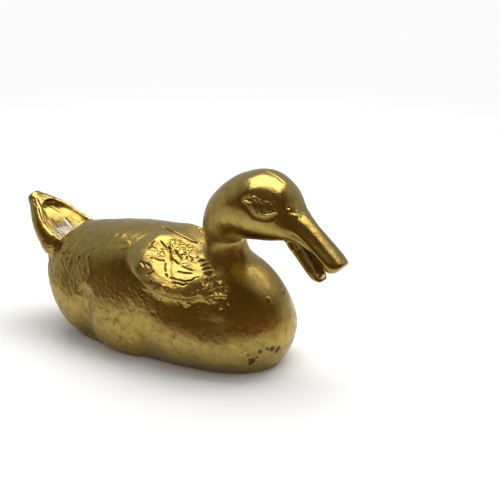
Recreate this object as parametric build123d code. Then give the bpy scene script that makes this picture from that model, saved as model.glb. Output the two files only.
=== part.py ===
"""Brass duck figurine: hollow castings in right and left halves, brazed along the middle, the neck and the tail.

The duck sits on a flat cut across its belly. X runs from the tail to the bill, Y to the duck's left,
Z up, and the origin is on the floor under the middle of the overall length. Sizes are in millimetres.
"""
from build123d import *
import math
import os

# Body: the rounded hull from rump to breast
BODY_LENGTH = 84.0
BODY_WIDTH = 42.0
BODY_HEIGHT = 37.0
KEEL_DEPTH = 6.5

# Wings: a low oval shield on each shoulder, with a broad rolled edge
WING_LENGTH = 27.0
WING_BREADTH = 21.0
WING_THICKNESS = 8.0
WING_ROLL = 5.5
WING_TILT = 30.0
WING_PITCH = 10.0

# Thighs: the low swellings on both flanks
THIGH_LENGTH = 34.0
THIGH_WIDTH = 18.0
THIGH_HEIGHT = 24.0

# Neck: from the crease at the front of the back up to the nape
NECK_DEPTH = 13.4
NECK_WIDTH = 14.0
NECK_HEIGHT = 10.0

# Head and eyes
HEAD_LENGTH = 32.0
HEAD_WIDTH = 23.0
HEAD_HEIGHT = 21.0
EYE_LENGTH = 8.4
EYE_HEIGHT = 4.8
EYE_BULGE = 0.7
EYE_TURN = 20.0

# Bill: the upper half and the lower half stand open
BILL_LENGTH = 21.0
BILL_WIDTH = 10.4
BILL_DEPTH = 6.6
BILL_DROP = 41.0
JAW_LENGTH = 16.0
JAW_WIDTH = 8.8
JAW_DEPTH = 3.7
JAW_DROP = 53.5

# Tail: an upturned fan, hollowed on its upper face
TAIL_LENGTH = 23.0
TAIL_WIDTH = 23.4
TAIL_DEPTH = 11.0
TAIL_RISE = 41.0
TAIL_RIM = 2.4
TAIL_SCOOP = 5.0

# Castings and the metal that joins them
WALL = 2.5
BRAZE = 0.4
NECK_JOINT_TILT = 37.0

# Smooth steps between two neighbouring stations, and the first and the last step that the core reaches
STEPS = 3
CORE_FIRST = STEPS + 1
CORE_LAST = 15 * STEPS

# Places on the tail, in shares of its length
TAIL_JOINT = 0.26
SCOOP_START = 0.20

REACH = 4 * (BODY_LENGTH + HEAD_LENGTH + TAIL_LENGTH)


def body_point(along, up):
    """A point of the middle plane, in shares of the body's length from the rump and of its height."""
    return Vector((along - 0.5) * BODY_LENGTH, 0, up * BODY_HEIGHT)


def keel_point(along, down):
    """A point of the round keel, which the flat belly cuts off."""
    return Vector((along - 0.5) * BODY_LENGTH, 0, -down * KEEL_DEPTH)


CREASE = body_point(0.65, 0.917)
NAPE = CREASE + Vector(0.07 * NECK_DEPTH, 0, NECK_HEIGHT)
CHIN = NAPE - Vector(0, 0, 0.19 * HEAD_HEIGHT)


def neck_point(forward, up):
    """A point of the middle plane, in shares of the neck's depth and height from the crease."""
    return CREASE + Vector(forward * NECK_DEPTH, 0, up * NECK_HEIGHT)


def head_point(forward, up):
    """A point of the middle plane, in shares of the head's length from the nape and its height over the chin."""
    return CHIN + Vector(forward * HEAD_LENGTH, 0, up * HEAD_HEIGHT)


def slope(angle):
    """The direction that falls forward by an angle, and the direction square to it that points up."""
    fall = math.radians(angle)
    along = Vector(math.cos(fall), 0, -math.sin(fall))
    upward = Vector(math.sin(fall), 0, math.cos(fall))
    return along, upward


def beak_station(root, drop, length, depth, width, forward, thickness, breadth):
    """One section of a bill half: its top lies on a straight line that falls from the root."""
    along, upward = slope(drop)
    top = root + along * (forward * length)
    return (top, top - upward * (thickness * depth), breadth * width / 2)


def body_stations():
    """Top, keel and half width of each section from the rump to the front of the breast."""
    half = BODY_WIDTH / 2
    return [
        (body_point(0.00, 0.65), body_point(0.05, 0.30), 0.46 * half),
        (body_point(0.08, 0.83), body_point(0.11, 0.05), 0.71 * half),
        (body_point(0.19, 0.90), keel_point(0.205, 0.55), 0.89 * half),
        (body_point(0.36, 0.975), keel_point(0.37, 0.90), 0.98 * half),
        (body_point(0.54, 1.00), keel_point(0.55, 1.00), 1.00 * half),
        (body_point(0.62, 0.967), keel_point(0.755, 0.90), 0.97 * half),
        (body_point(0.638, 0.943), keel_point(0.913, 0.35), 0.87 * half),
        (body_point(0.648, 0.926), body_point(0.992, 0.27), 0.74 * half),
        (body_point(0.657, 0.924), body_point(0.953, 0.607), 0.52 * half),
    ]


def neck_stations():
    """The sections that turn upward round the crease."""
    half = NECK_WIDTH / 2
    return [
        (neck_point(0.09, 0.18), neck_point(1.17, -0.26), 1.08 * half),
        (neck_point(0.07, 0.50), neck_point(0.98, 0.27), 1.00 * half),
        (NAPE, neck_point(1.01, 0.47), 1.18 * half),
    ]


def head_stations():
    """The sections over the crown, from the nape to the root of the bill."""
    half = HEAD_WIDTH / 2
    return [
        (head_point(0.09, 0.53), head_point(0.46, -0.02), 0.82 * half),
        (head_point(0.32, 0.86), head_point(0.535, 0.00), 0.95 * half),
        (head_point(0.60, 1.00), head_point(0.64, 0.02), 1.00 * half),
        (head_point(0.83, 0.87), head_point(0.76, 0.04), 0.88 * half),
        (head_point(0.99, 0.55), head_point(0.875, 0.08), 0.65 * half),
    ]


def bill_stations():
    """The sections of the upper bill, out to its rounded tip."""
    shape = (BILL_DROP, BILL_LENGTH, BILL_DEPTH, BILL_WIDTH)
    root = head_point(0.99, 0.55)
    return [
        beak_station(root, *shape, 0.33, 1.00, 1.00),
        beak_station(root, *shape, 0.69, 0.90, 0.95),
        beak_station(root, *shape, 0.92, 0.84, 0.88),
        beak_station(root, *shape, 1.00, 0.58, 0.58),
    ]


def jaw_stations():
    """The sections of the lower bill, from inside the head to its tip."""
    shape = (JAW_DROP, JAW_LENGTH, JAW_DEPTH, JAW_WIDTH)
    root = head_point(0.965, 0.20)
    return [
        beak_station(root, *shape, 0.00, 1.00, 1.00),
        beak_station(root, *shape, 0.45, 0.75, 0.98),
        beak_station(root, *shape, 0.85, 0.52, 0.86),
        beak_station(root, *shape, 1.00, 0.26, 0.46),
    ]


def tail_frame():
    """The root of the tail, the way it points, and the way its hollow face looks."""
    rise = math.radians(TAIL_RISE)
    outward = Vector(-math.cos(rise), 0, math.sin(rise))
    upward = Vector(math.sin(rise), 0, math.cos(rise))
    return body_point(0.09, 0.605), outward, upward


def tail_stations(start, length, half_width, lift, half_depth):
    """Sections along the tail, or along the hollow in it, which starts further out and is lifted."""
    root, outward, upward = tail_frame()
    shape = [(0.00, 1.00, 1.22), (0.35, 0.95, 0.90), (0.60, 0.77, 0.72), (0.82, 0.46, 0.52), (1.00, 0.17, 0.28)]
    stations = []
    for along, breadth, thickness in shape:
        centre = root + outward * (start + along * (length - start)) + upward * (lift * thickness)
        reach = upward * (half_depth * thickness)
        stations.append((centre + reach, centre - reach, breadth * half_width))
    return stations


def between(before, start, end, after, share):
    """A smooth curve through four values, between the second and the third."""
    linear = end - before
    square = before * 2 - start * 5 + end * 4 - after
    cube = start * 3 - before - end * 3 + after
    return (start * 2 + linear * share + square * share**2 + cube * share**3) * 0.5


def refine(stations):
    """The stations with smooth steps put between them."""
    padded = [stations[0], *stations, stations[-1]]
    fine = []
    for place in range(1, len(padded) - 2):
        around = padded[place - 1:place + 3]
        for step in range(STEPS):
            fine.append(tuple(between(*values, step / STEPS) for values in zip(*around)))
    return [*fine, stations[-1]]


def section(top, keel, half_width, strip):
    """The right half of an oval across the duck, with a straight strip past the middle plane."""
    upright = top - keel
    plane = Plane(origin=(top + keel) * 0.5, x_dir=(0, 1, 0), z_dir=Vector(0, 1, 0).cross(upright))
    half_height = upright.length / 2
    edges = [
        EllipticalCenterArc((0, 0), half_width, half_height, 90, arc_size=90),
        EllipticalCenterArc((0, 0), half_width, half_height, 180, arc_size=90),
        Line((0, -half_height), (strip, -half_height)),
        Line((strip, -half_height), (strip, half_height)),
        Line((strip, half_height), (0, half_height)),
    ]
    return plane * Wire(edges)


def skin(stations, strips):
    """A smooth closed solid through a row of sections, with a strip past the middle as wide as so many brazes."""
    return Solid.make_loft([section(*station, strips * BRAZE) for station in stations], ruled=False)


def inset(station):
    """A section drawn in by the wall on every side."""
    top, keel, half_width = station
    step = (top - keel).normalized() * WALL
    return (top - step, keel + step, half_width - WALL)


def ellipsoid(centre, length, width, height, turn=0):
    """A rounded swelling, turned about the upright."""
    return Pos(*centre) * Rot(0, 0, turn) * scale(Sphere(0.5), by=(length, width, height))


def neck_joint_plane():
    """The slanting plane in which the head is brazed to the body."""
    return Plane(origin=neck_stations()[0][0], z_dir=slope(NECK_JOINT_TILT)[1])


def wing():
    """The right wing, a disc that leans out of the shoulder and ends at the neck joint."""
    disc = extrude(Ellipse(WING_LENGTH / 2, WING_BREADTH / 2), -WING_THICKNESS)
    disc = fillet(disc.edges().sort_by(Axis.Z)[-1], WING_ROLL)
    centre = body_point(0.639, 0.8435) - Vector(0, 0.3045 * BODY_WIDTH, 0)
    return split(Pos(*centre) * Rot(WING_TILT, WING_PITCH, 0) * disc, neck_joint_plane(), keep=Keep.BOTTOM)


def thigh():
    """The right thigh, which swells out of the flank and is cut by the floor."""
    side = (THIGH_WIDTH - BODY_WIDTH) / 2
    centre = body_point(0.43, 0) + Vector(0, side, 0.44 * THIGH_HEIGHT)
    return ellipsoid(centre, THIGH_LENGTH, THIGH_WIDTH, THIGH_HEIGHT)


def eye():
    """The right eye, a low almond on the cheek."""
    centre = head_point(0.735, 0.645) - Vector(0, 0.355 * HEAD_WIDTH, 0)
    return ellipsoid(centre, EYE_LENGTH, 2 * EYE_BULGE, EYE_HEIGHT, EYE_TURN)


def below(level):
    """Everything under a level."""
    return Pos(0, 0, level - REACH / 2) * Box(REACH, REACH, REACH)


def right_outside():
    """The right half of the outer form, cut flat under the belly."""
    hull = skin(refine(body_stations() + neck_stations() + head_stations() + bill_stations()), 1)
    jaw = skin(refine(jaw_stations()), 2)
    fan = skin(refine(tail_stations(0, TAIL_LENGTH, TAIL_WIDTH / 2, 0, TAIL_DEPTH / 2)), 2)
    scoop_from = SCOOP_START * TAIL_LENGTH
    scoop_to = TAIL_LENGTH - 2 * TAIL_RIM
    scoop_side = TAIL_WIDTH / 2 - TAIL_RIM
    scoop = skin(refine(tail_stations(scoop_from, scoop_to, scoop_side, TAIL_DEPTH / 2, TAIL_SCOOP)), 3)
    return hull + jaw + fan - scoop + wing() + thigh() + eye() - below(0)


def right_core():
    """The right half of the hollow: the hull drawn in by the wall, from the rump to the face."""
    stations = refine(body_stations() + neck_stations() + head_stations())
    return skin([inset(station) for station in stations[CORE_FIRST:CORE_LAST + 1]], 4) - below(WALL)


def part_at(shape, plane):
    """Cuts a shape with a plate as thick as the joint metal: the side behind, the joint, the side ahead."""
    plate = plane * Box(REACH, REACH, BRAZE)
    sides = (shape - plate).solids()
    ahead = [side for side in sides if (side.center(CenterOf.MASS) - plane.origin).dot(plane.z_dir) > 0]
    behind = [side for side in sides if side not in ahead]
    return behind[0], (shape & plate).solids()[0], ahead[0]


def whole(right):
    """A piece that runs across the middle plane, from its right half and the mirror image."""
    half = right - Pos(0, REACH / 2, 0) * Box(REACH, REACH, REACH)
    return half + mirror(half, about=Plane.XZ)


def halves(name, right):
    """The right and the left casting of a hollow form, and the braze between them."""
    seam, casting = part_at(right, Plane(origin=(0, 0, 0), z_dir=(0, -1, 0)))[1:]
    return {
        name + "_right_half": casting,
        name + "_left_half": mirror(casting, about=Plane.XZ),
        name + "_seam_braze": seam,
    }


def build():
    """All pieces by name, with the origin under the middle of the overall length."""
    shell = right_outside() - right_core()
    tail_root, tail_way = tail_frame()[:2]
    tail_seat = tail_root + tail_way * (TAIL_JOINT * TAIL_LENGTH)
    duck, tail_joint, tail = part_at(shell, Plane(origin=tail_seat, z_dir=tail_way))
    body, neck_joint, head = part_at(duck, neck_joint_plane())
    pieces = {
        **halves("body", body),
        **halves("head", head),
        "neck_joint_braze": whole(neck_joint),
        "tail_fan": whole(tail),
        "tail_joint_solder": whole(tail_joint),
    }
    boxes = [piece.bounding_box() for piece in pieces.values()]
    middle = (min(box.min.X for box in boxes) + max(box.max.X for box in boxes)) / 2
    return {name: Pos(-middle, 0, 0) * piece for name, piece in pieces.items()}


os.makedirs("parts", exist_ok=True)
for node, solid in build().items():
    print(node, len(solid.solids()), solid.is_valid, round(solid.volume, 2))
    export_step(solid, f"parts/{node}.step")
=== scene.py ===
# %% [markdown]
# # A small cast brass duck
# The figure is a hollow casting. Two body halves are brazed along the middle, two head halves
# with the neck are brazed the same way, the head is brazed on at a slanting ring round the neck,
# and a solid tail is soldered on behind. After that the whole skin was filed and polished, so the
# joints hardly show. This lesson sculpts that finished skin and cuts it back into its pieces.

# %% Load the frame that every piece has to fit
import math

import bmesh
import bpy
import numpy as np
from mathutils import Matrix, Vector, kdtree, noise


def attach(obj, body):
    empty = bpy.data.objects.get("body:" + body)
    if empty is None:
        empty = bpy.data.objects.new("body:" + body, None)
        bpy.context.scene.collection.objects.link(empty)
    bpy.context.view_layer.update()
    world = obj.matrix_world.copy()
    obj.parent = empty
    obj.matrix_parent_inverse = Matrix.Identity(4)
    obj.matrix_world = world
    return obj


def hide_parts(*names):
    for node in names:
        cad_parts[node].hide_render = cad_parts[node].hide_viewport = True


MM = 0.001


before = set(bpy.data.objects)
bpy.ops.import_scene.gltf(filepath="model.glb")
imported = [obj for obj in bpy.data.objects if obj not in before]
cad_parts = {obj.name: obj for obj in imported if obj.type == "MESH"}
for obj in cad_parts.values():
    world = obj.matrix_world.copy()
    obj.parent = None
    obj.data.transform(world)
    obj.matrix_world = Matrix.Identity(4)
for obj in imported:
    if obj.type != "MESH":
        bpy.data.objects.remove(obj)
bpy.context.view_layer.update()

# %% [markdown]
# ## One skin over all the castings
# A finished casting has one continuous skin that runs over its joints. The pieces could be sculpted
# one by one, but then each mark would have to meet itself across a joint. So a copy of every solid is
# joined, and a voxel remesh draws one even skin over them. The sizes below are in millimetres, because
# that is how a caster would talk about them, so the copy is scaled up first. The remesh also skins the
# hollow inside, so only the outermost skin is kept.

# %% Remesh the joined castings
VOXEL = 0.34
MERGE_GAP = 1e-6


def remeshed(rough, voxel):
    """A bmesh with an even skin over everything in the rough one."""
    mesh = bpy.data.meshes.new("rough_casting")
    rough.to_mesh(mesh)
    holder = bpy.data.objects.new("rough_casting", mesh)
    bpy.context.scene.collection.objects.link(holder)
    remesh = holder.modifiers.new("skin", "REMESH")
    remesh.mode = "VOXEL"
    remesh.voxel_size = voxel
    even = bmesh.new()
    even.from_object(holder, bpy.context.evaluated_depsgraph_get())
    bpy.data.objects.remove(holder)
    bpy.data.meshes.remove(mesh)
    return even


def reach(island):
    """How far an island of vertices runs from front to back."""
    along = [vertex.co.x for vertex in island]
    return max(along) - min(along)


def outer_island(bm):
    """Deletes every island of faces but the longest one."""
    left = set(bm.verts)
    islands = []
    while left:
        edge_of_search = [left.pop()]
        island = list(edge_of_search)
        while edge_of_search:
            vertex = edge_of_search.pop()
            for edge in vertex.link_edges:
                other = edge.other_vert(vertex)
                if other in left:
                    left.remove(other)
                    island.append(other)
                    edge_of_search.append(other)
        islands.append(island)
    outer = max(islands, key=reach)
    inner = [vertex for island in islands if island is not outer for vertex in island]
    bmesh.ops.delete(bm, geom=inner, context="VERTS")
    return len(islands)


rough = bmesh.new()
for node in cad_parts.values():
    rough.from_mesh(node.data)
bmesh.ops.remove_doubles(rough, verts=rough.verts, dist=MERGE_GAP)
bmesh.ops.scale(rough, vec=(1 / MM, 1 / MM, 1 / MM), verts=rough.verts)
skin = remeshed(rough, VOXEL)
rough.free()
found = outer_island(skin)
print("skin:", len(skin.verts), "vertices, islands found:", found)

# %% [markdown]
# ## Soften the tool marks of the remesh
# The voxel skin has faint steps. A few rounds of vertex smoothing take them out, as the caster's files
# and buffing wheel would. A Smooth modifier could do this once, but the helper here is used twice more
# below, on parts of the skin.

# %% Smooth the skin
SMOOTH_ROUNDS = 4
SMOOTH_FACTOR = 0.5


def smooth(vertices, rounds):
    """Evens out these vertices of the skin, round by round."""
    for _ in range(rounds):
        bmesh.ops.smooth_vert(
            skin, verts=vertices, factor=SMOOTH_FACTOR, use_axis_x=True, use_axis_y=True, use_axis_z=True
        )


smooth(skin.verts, SMOOTH_ROUNDS)
print("smoothed", SMOOTH_ROUNDS, "times")

# %% [markdown]
# ## Where the joints lie
# The neck joint and the tail joint are thin slanting plates. Their places could be typed in, but the
# widest face of each one's solid gives its plane, so the cuts at the end follow the castings.

# %% Read the two joint planes


def joint_plane(name, ahead):
    """A point and the normal of the middle plane of a thin joint."""
    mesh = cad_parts[name].data
    normal = max(mesh.polygons, key=lambda face: face.area).normal.copy()
    if normal.dot(ahead) < 0:
        normal.negate()
    depths = [vertex.co.dot(normal) / MM for vertex in mesh.vertices]
    return normal * ((min(depths) + max(depths)) / 2), normal


NECK_POINT, NECK_NORMAL = joint_plane("neck_joint_braze", Vector((1, 0, 1)))
TAIL_POINT, TAIL_NORMAL = joint_plane("tail_joint_solder", Vector((-1, 0, 1)))
print("neck joint faces", [round(v, 2) for v in NECK_NORMAL])
print("tail joint faces", [round(v, 2) for v in TAIL_NORMAL])

# %% [markdown]
# ## Blend the edge of the wings
# On the real casting the wing grows softly out of the shoulder. A bevel would need a clean edge, which
# the remeshed skin doesn't have, so many rounds of smoothing on a ring round the wing turn the step
# into a soft roll. The wing's shield has a frame of its own: forward along it, down across it and out
# of it.

# %% Smooth a ring round each wing
WING_CENTRE = Vector((7.5, -12.8, 31.2))
WING_TILT = math.radians(30)
WING_PITCH = math.radians(10)
WING_HALF_LENGTH = 13.5
WING_HALF_BREADTH = 10.5
WING_RING = (0.62, 1.40)
WING_RING_DEPTH = 8.0
NECK_CLEARANCE = 0.5
BLEND_ROUNDS = 40
wing_out = Vector((
    math.sin(WING_PITCH),
    -math.sin(WING_TILT) * math.cos(WING_PITCH),
    math.cos(WING_TILT) * math.cos(WING_PITCH),
))
wing_fore = Vector((
    math.cos(WING_PITCH),
    math.sin(WING_TILT) * math.sin(WING_PITCH),
    -math.cos(WING_TILT) * math.sin(WING_PITCH),
))
wing_down = Vector((0.0, -math.cos(WING_TILT), -math.sin(WING_TILT)))


def on_right(co):
    """The same place with the left side folded onto the right one."""
    return Vector((co.x, -abs(co.y), co.z))


def is_wing_edge(co):
    offset = on_right(co) - WING_CENTRE
    oval = math.hypot(offset.dot(wing_fore) / WING_HALF_LENGTH, offset.dot(wing_down) / WING_HALF_BREADTH)
    in_ring = WING_RING[0] < oval < WING_RING[1] and abs(offset.dot(wing_out)) < WING_RING_DEPTH
    return in_ring and (co - NECK_POINT).dot(NECK_NORMAL) < -NECK_CLEARANCE


wing_edge = [v for v in skin.verts if is_wing_edge(v.co)]
smooth(wing_edge, BLEND_ROUNDS)
print("blended", len(wing_edge), "vertices round the wings")

# %% [markdown]
# ## Round the rims of the tail
# The scoop of the tail lies between two thick rounded rolls. The same smoothing works on the two bands
# beside the scoop. It stops short of the root, where the edge of the back stays crisp.

# %% Smooth the bands beside the scoop
TAIL_RIM_ROUNDS = 70
TAIL_BAND = (2.5, 12.5)
TAIL_ROOT_KEPT = 1.0


def is_tail_rim(co):
    past_root = (co - TAIL_POINT).dot(TAIL_NORMAL)
    return TAIL_BAND[0] < abs(co.y) < TAIL_BAND[1] and past_root > TAIL_ROOT_KEPT


tail_rims = [v for v in skin.verts if is_tail_rim(v.co)]
smooth(tail_rims, TAIL_RIM_ROUNDS)
print("rounded", len(tail_rims), "vertices on the rims of the tail")

# %% [markdown]
# ## Finer faces where the chaser worked
# The wings, the collar, the eyes, the bill and the tail carry detail that is narrower than the even
# skin can hold. A finer remesh would make the whole skin heavy, so only the faces there are divided.

# %% Divide the faces of the detailed zones
WING_ZONE = 17.5
WING_ZONE_FLOOR = 20.0
COLLAR_CENTRE = Vector((20.5, -14.0, 26.0))
COLLAR_ZONE = 8.0
EYE_REAR = Vector((28.3, -10.1, 55.6))
EYE_FRONT = Vector((37.9, -7.6, 51.7))
EYE_CENTRE = (EYE_REAR + EYE_FRONT) / 2
EYE_ZONE = 9.0
EYE_ZONE_INSET = 2.0
BILL_ROOT = Vector((41.1, 0.0, 51.5))
BILL_ZONE_BACK = 3.0
BILL_ZONE_FLOOR = 28.0
TAIL_ZONE_BACK = 4.0


def is_detailed(co):
    folded = on_right(co)
    wing = (folded - WING_CENTRE).length < WING_ZONE and co.z > WING_ZONE_FLOOR
    collar = (folded - COLLAR_CENTRE).length < COLLAR_ZONE
    eye = (folded - EYE_CENTRE).length < EYE_ZONE and folded.y < -EYE_ZONE_INSET
    bill = co.x > BILL_ROOT.x - BILL_ZONE_BACK and co.z > BILL_ZONE_FLOOR
    tail = (co - TAIL_POINT).dot(TAIL_NORMAL) > -TAIL_ZONE_BACK
    return wing or collar or eye or bill or tail


detailed = {v for v in skin.verts if is_detailed(v.co)}
fine_edges = [e for e in skin.edges if e.verts[0] in detailed and e.verts[1] in detailed]
bmesh.ops.subdivide_edges(skin, edges=fine_edges, cuts=1, use_grid_fill=True, smooth=0.0)
skin.normal_update()
print("skin after dividing:", len(skin.verts), "vertices")

# %% [markdown]
# ## Tools of the chaser
# Chasing is the cutting and punching of a casting's skin by hand. Sculpt strokes can't be repeated by
# a script, and a bump map would not bend the outline. So each mark is a height over the skin, worked
# out for all vertices at once. A mound is a round bump, ease is a soft step, and lumps is a smooth
# random waviness that is the same in every run.

# %% Shared sculpting tools
SEED_STEP = 31.7
CORNER_CUT = 0.25
CORNER_ROUNDS = 2


def ease(value, start, end):
    share = np.clip((value - start) / (end - start), 0.0, 1.0)
    return share * share * (3.0 - 2.0 * share)


def mound(distance, radius):
    share = np.clip(1.0 - (distance / radius) ** 2, 0.0, 1.0)
    return share * share


def oval_mound(along, across, centre, radii):
    """A mound that stands on an oval."""
    return mound(np.hypot((along - centre[0]) / radii[0], (across - centre[1]) / radii[1]), 1.0)


def gap_to(points, centre):
    """Distance of each point to one place."""
    return np.linalg.norm(points - np.array(centre), axis=1)


def lumps(points, size, seed, where=None):
    """A smooth random height from about -1 to 1, worked out only where it is wanted."""
    heights = np.zeros(len(points))
    wanted = range(len(points)) if where is None else np.flatnonzero(where)
    for index in wanted:
        heights[index] = noise.noise(Vector(points[index] / size + seed * SEED_STEP))
    return heights


def path_distance(points, path):
    """Distance of each point to a line of straight runs."""
    nearest = np.full(len(points), np.inf)
    for start, end in zip(path[:-1], path[1:]):
        start, end = np.array(start), np.array(end)
        run = end - start
        share = np.clip(((points - start) @ run) / (run @ run), 0.0, 1.0)
        gap = np.linalg.norm(points - start - share[:, None] * run, axis=1)
        nearest = np.minimum(nearest, gap)
    return nearest


def rounded(path):
    """A path with its corners cut off, round by round."""
    for _ in range(CORNER_ROUNDS):
        softer = [path[0]]
        for start, end in zip(path[:-1], path[1:]):
            start, end = np.array(start), np.array(end)
            softer.append((1.0 - CORNER_CUT) * start + CORNER_CUT * end)
            softer.append(CORNER_CUT * start + (1.0 - CORNER_CUT) * end)
        path = [*softer, path[-1]]
    return path


print("a mound is", round(float(mound(0.5, 1.0)), 2), "high halfway down its side")

# %% [markdown]
# The skin is measured once. The left side is folded onto the right one, so most marks are the same on
# both, and some of the boldest are fainter on the left. Three notes are kept for each vertex: how far
# it rises, how dark its colour is made, by tarnish in its hollows and in a few places by painted shade,
# and how far its polish has worn off.

# %% Measure the skin and start the notes
FAR_SIDE_SHARE = 0.3
skin.verts.ensure_lookup_table()
place = np.array([v.co for v in skin.verts])
facing = np.array([v.normal for v in skin.verts])
ahead, leftward, height = place.T
side = place.copy()
side[:, 1] = -np.abs(leftward)
side_facing = facing.copy()
side_facing[:, 1] *= np.where(leftward > 0, -1.0, 1.0)
past_neck = (place - np.array(NECK_POINT)) @ np.array(NECK_NORMAL)
past_tail = (place - np.array(TAIL_POINT)) @ np.array(TAIL_NORMAL)
seen_side = np.where(leftward < 0.0, 1.0, FAR_SIDE_SHARE)
rise = np.zeros(len(place))
tarnish_and_shade = np.zeros(len(place))
worn = np.zeros(len(place))


# Darkens the colour: brown tarnish in the hollows, and painted shade at the throat and on the top of the
# bill.
def darken(share):
    np.maximum(tarnish_and_shade, share, out=tarnish_and_shade)


def wear(share):
    np.maximum(worn, share, out=worn)


print("measured", len(place), "vertices")

# %% [markdown]
# ## The wings
# On each side a low oval shield stands for the folded wing. Its feathers are short strokes of a small
# chisel. They could be a picture used as a bump, but real cuts catch the light along their edges. So
# each stroke is a short path on the shield, and the skin is pressed in along it, harder here and softer
# there, as a hand does.

# %% Cut the feathers of the wings
CUT_DEPTH = 0.42
CUT_WIDTH = 0.42
CUT_SHIVER = 0.40
CUT_PRESSURE = 0.75
PRESSURE_CHANGE = 0.6
CUT_TARNISH = 0.75
FEATHER_CUTS = (
    ((0.2, 5.4), (3.9, 5.2), (5.8, 4.3), (7.6, 1.7)),
    ((2.2, 6.3), (4.4, 6.1), (5.5, 5.2)),
    ((6.1, 6.9), (7.1, 7.1), (8.3, 4.9)),
    ((1.2, 2.5), (3.2, 2.1), (5.0, 1.3)),
    ((1.1, -0.2), (3.2, 0.0), (4.4, -0.3)),
    ((-2.5, -1.0), (-0.2, -0.3)),
    ((-3.3, -4.0), (-0.2, -2.3)),
    ((-5.6, -4.4), (-3.8, -1.8), (-3.2, -0.6)),
    ((-3.6, 1.5), (-2.3, 3.8)),
    ((-1.4, 4.9), (-0.7, 5.4)),
    ((-10.6, -4.3), (-10.5, -1.0)),
    ((-8.8, -5.2), (-6.2, -3.7)),
    ((-8.4, 1.5), (-4.5, 0.7)),
    ((-9.9, 3.1), (-8.8, 4.0)),
    ((-8.3, 3.4), (-6.8, 4.3)),
    ((-6.3, 6.1), (-5.2, 5.4)),
)
from_wing = side - np.array(WING_CENTRE)
fore = from_wing @ np.array(wing_fore)
down = from_wing @ np.array(wing_down)
over_wing = from_wing @ np.array(wing_out)
oval = np.hypot(fore / WING_HALF_LENGTH, down / WING_HALF_BREADTH)
body_side = ease(-past_neck, -0.4, 0.4) * ease(over_wing, -3.5, -2.0)
on_wing = ease(1.04 - oval, 0.0, 0.16) * body_side
near_wing = on_wing > 0.0
shiver = CUT_SHIVER * lumps(place, size=1.4, seed=1, where=near_wing)
wing_face = np.column_stack([fore + shiver, down + 0.7 * shiver])
pressure = CUT_PRESSURE + PRESSURE_CHANGE * lumps(place, size=2.0, seed=21, where=near_wing)
cuts = np.zeros(len(place))
for stroke in FEATHER_CUTS:
    cuts = np.maximum(cuts, mound(path_distance(wing_face, rounded(stroke)), CUT_WIDTH))
rise -= CUT_DEPTH * cuts * pressure * on_wing
darken(CUT_TARNISH * cuts * on_wing)
print("feather cuts touch", int((cuts * on_wing > 0.1).sum()), "vertices")

# %% [markdown]
# The shield is not dead flat. It stands out most along its lower and rear edge, which turns that edge
# to the lamp, and the flank below it is filled a little. A valley parts its front lobe from the rear
# one. These could be in the castings too, but here they can be tuned by what the polish reflects.

# %% Lift the lobes of the wings
SHELF_TILT = 0.13
SHELF_FILL = 0.10
REAR_TILT = 0.07
REAR_FILL = 0.06
FLANK_FILL = 1.3
FLANK_RING = 1.38
FLANK_RING_WIDTH = 0.38
VALLEY = ((-5.6, -4.6), (-3.4, -0.8), (-1.2, 4.4), (1.5, 6.8))
VALLEY_DEPTH = 0.30
VALLEY_WIDTH = 1.4
short_of_edge = 1.0 - ease(oval, 0.88, 1.34)
shelf = SHELF_TILT * np.clip(down + 1.0, 0.0, 9.0) + SHELF_FILL * np.clip(down - 4.5, 0.0, 3.2) ** 2
shelf += REAR_TILT * np.clip(2.0 - fore, 0.0, 12.0) + REAR_FILL * np.clip(-fore - 7.0, 0.0, 3.5) ** 2
shelf *= short_of_edge
rise += shelf * body_side * seen_side
under_wing = mound(oval - FLANK_RING, FLANK_RING_WIDTH) * ease(down, 2.0, 6.0)
rise += FLANK_FILL * under_wing * body_side * seen_side
rise -= VALLEY_DEPTH * mound(path_distance(wing_face, rounded(VALLEY)), VALLEY_WIDTH) * on_wing
wear((1.0 - ease(oval, 1.0, 1.45)) * ease(over_wing, -5.0, -2.0))
print("shield stands out by up to", (shelf * body_side).max().round(2), "mm")

# %% [markdown]
# A fine worm-like ground, as a punch leaves it, fills the top of the shield, short of the collar. The
# lines where a smooth random height passes through zero wind in just that way, so the skin is pressed
# in along them.

# %% Punch the worm-like ground
COLLAR_CHAIN = ((2.5, -7.0), (7.0, -3.1), (12.6, 1.9))
WORM_SIZE = 1.0
WORM_DEPTH = 0.26
WORM_TARNISH = 0.6
WORM_SQUASH = np.array([1.0, 1.0, 1.2])
REAR_GROUND = ((-7.5, -1.0), (4.0, 5.5))
MID_GROUND = ((1.5, -1.0), (5.0, 2.2))
THIN_GROUND = 0.7
off_collar = ease(path_distance(wing_face, COLLAR_CHAIN), 1.2, 2.2)
top_ground = ease(-down, 2.2, 3.6) * ease(down, -10.0, -8.5)
top_ground *= ease(fore, -8.5, -6.0)
top_ground *= ease(-fore, -8.5, -6.0)
rear_ground = oval_mound(fore, down, *REAR_GROUND)
mid_ground = oval_mound(fore, down, *MID_GROUND)
ground = np.maximum(top_ground, THIN_GROUND * np.maximum(rear_ground, mid_ground)) * off_collar * body_side
worms = np.abs(lumps(place * WORM_SQUASH, size=WORM_SIZE, seed=3, where=ground > 0.02))
worm_lines = (1.0 - ease(worms, 0.02, 0.18)) * ground
rise -= WORM_DEPTH * worm_lines
darken(WORM_TARNISH * worm_lines)
print("worm ground covers", int((ground > 0.3).sum()), "vertices")

# %% [markdown]
# ## The collar
# Where the neck leaves the body, a chain of short bars runs down from the back. Each bar could be a
# mesh of its own, but on the casting they grow out of the skin, so they are mounds on slanting ovals.

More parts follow.
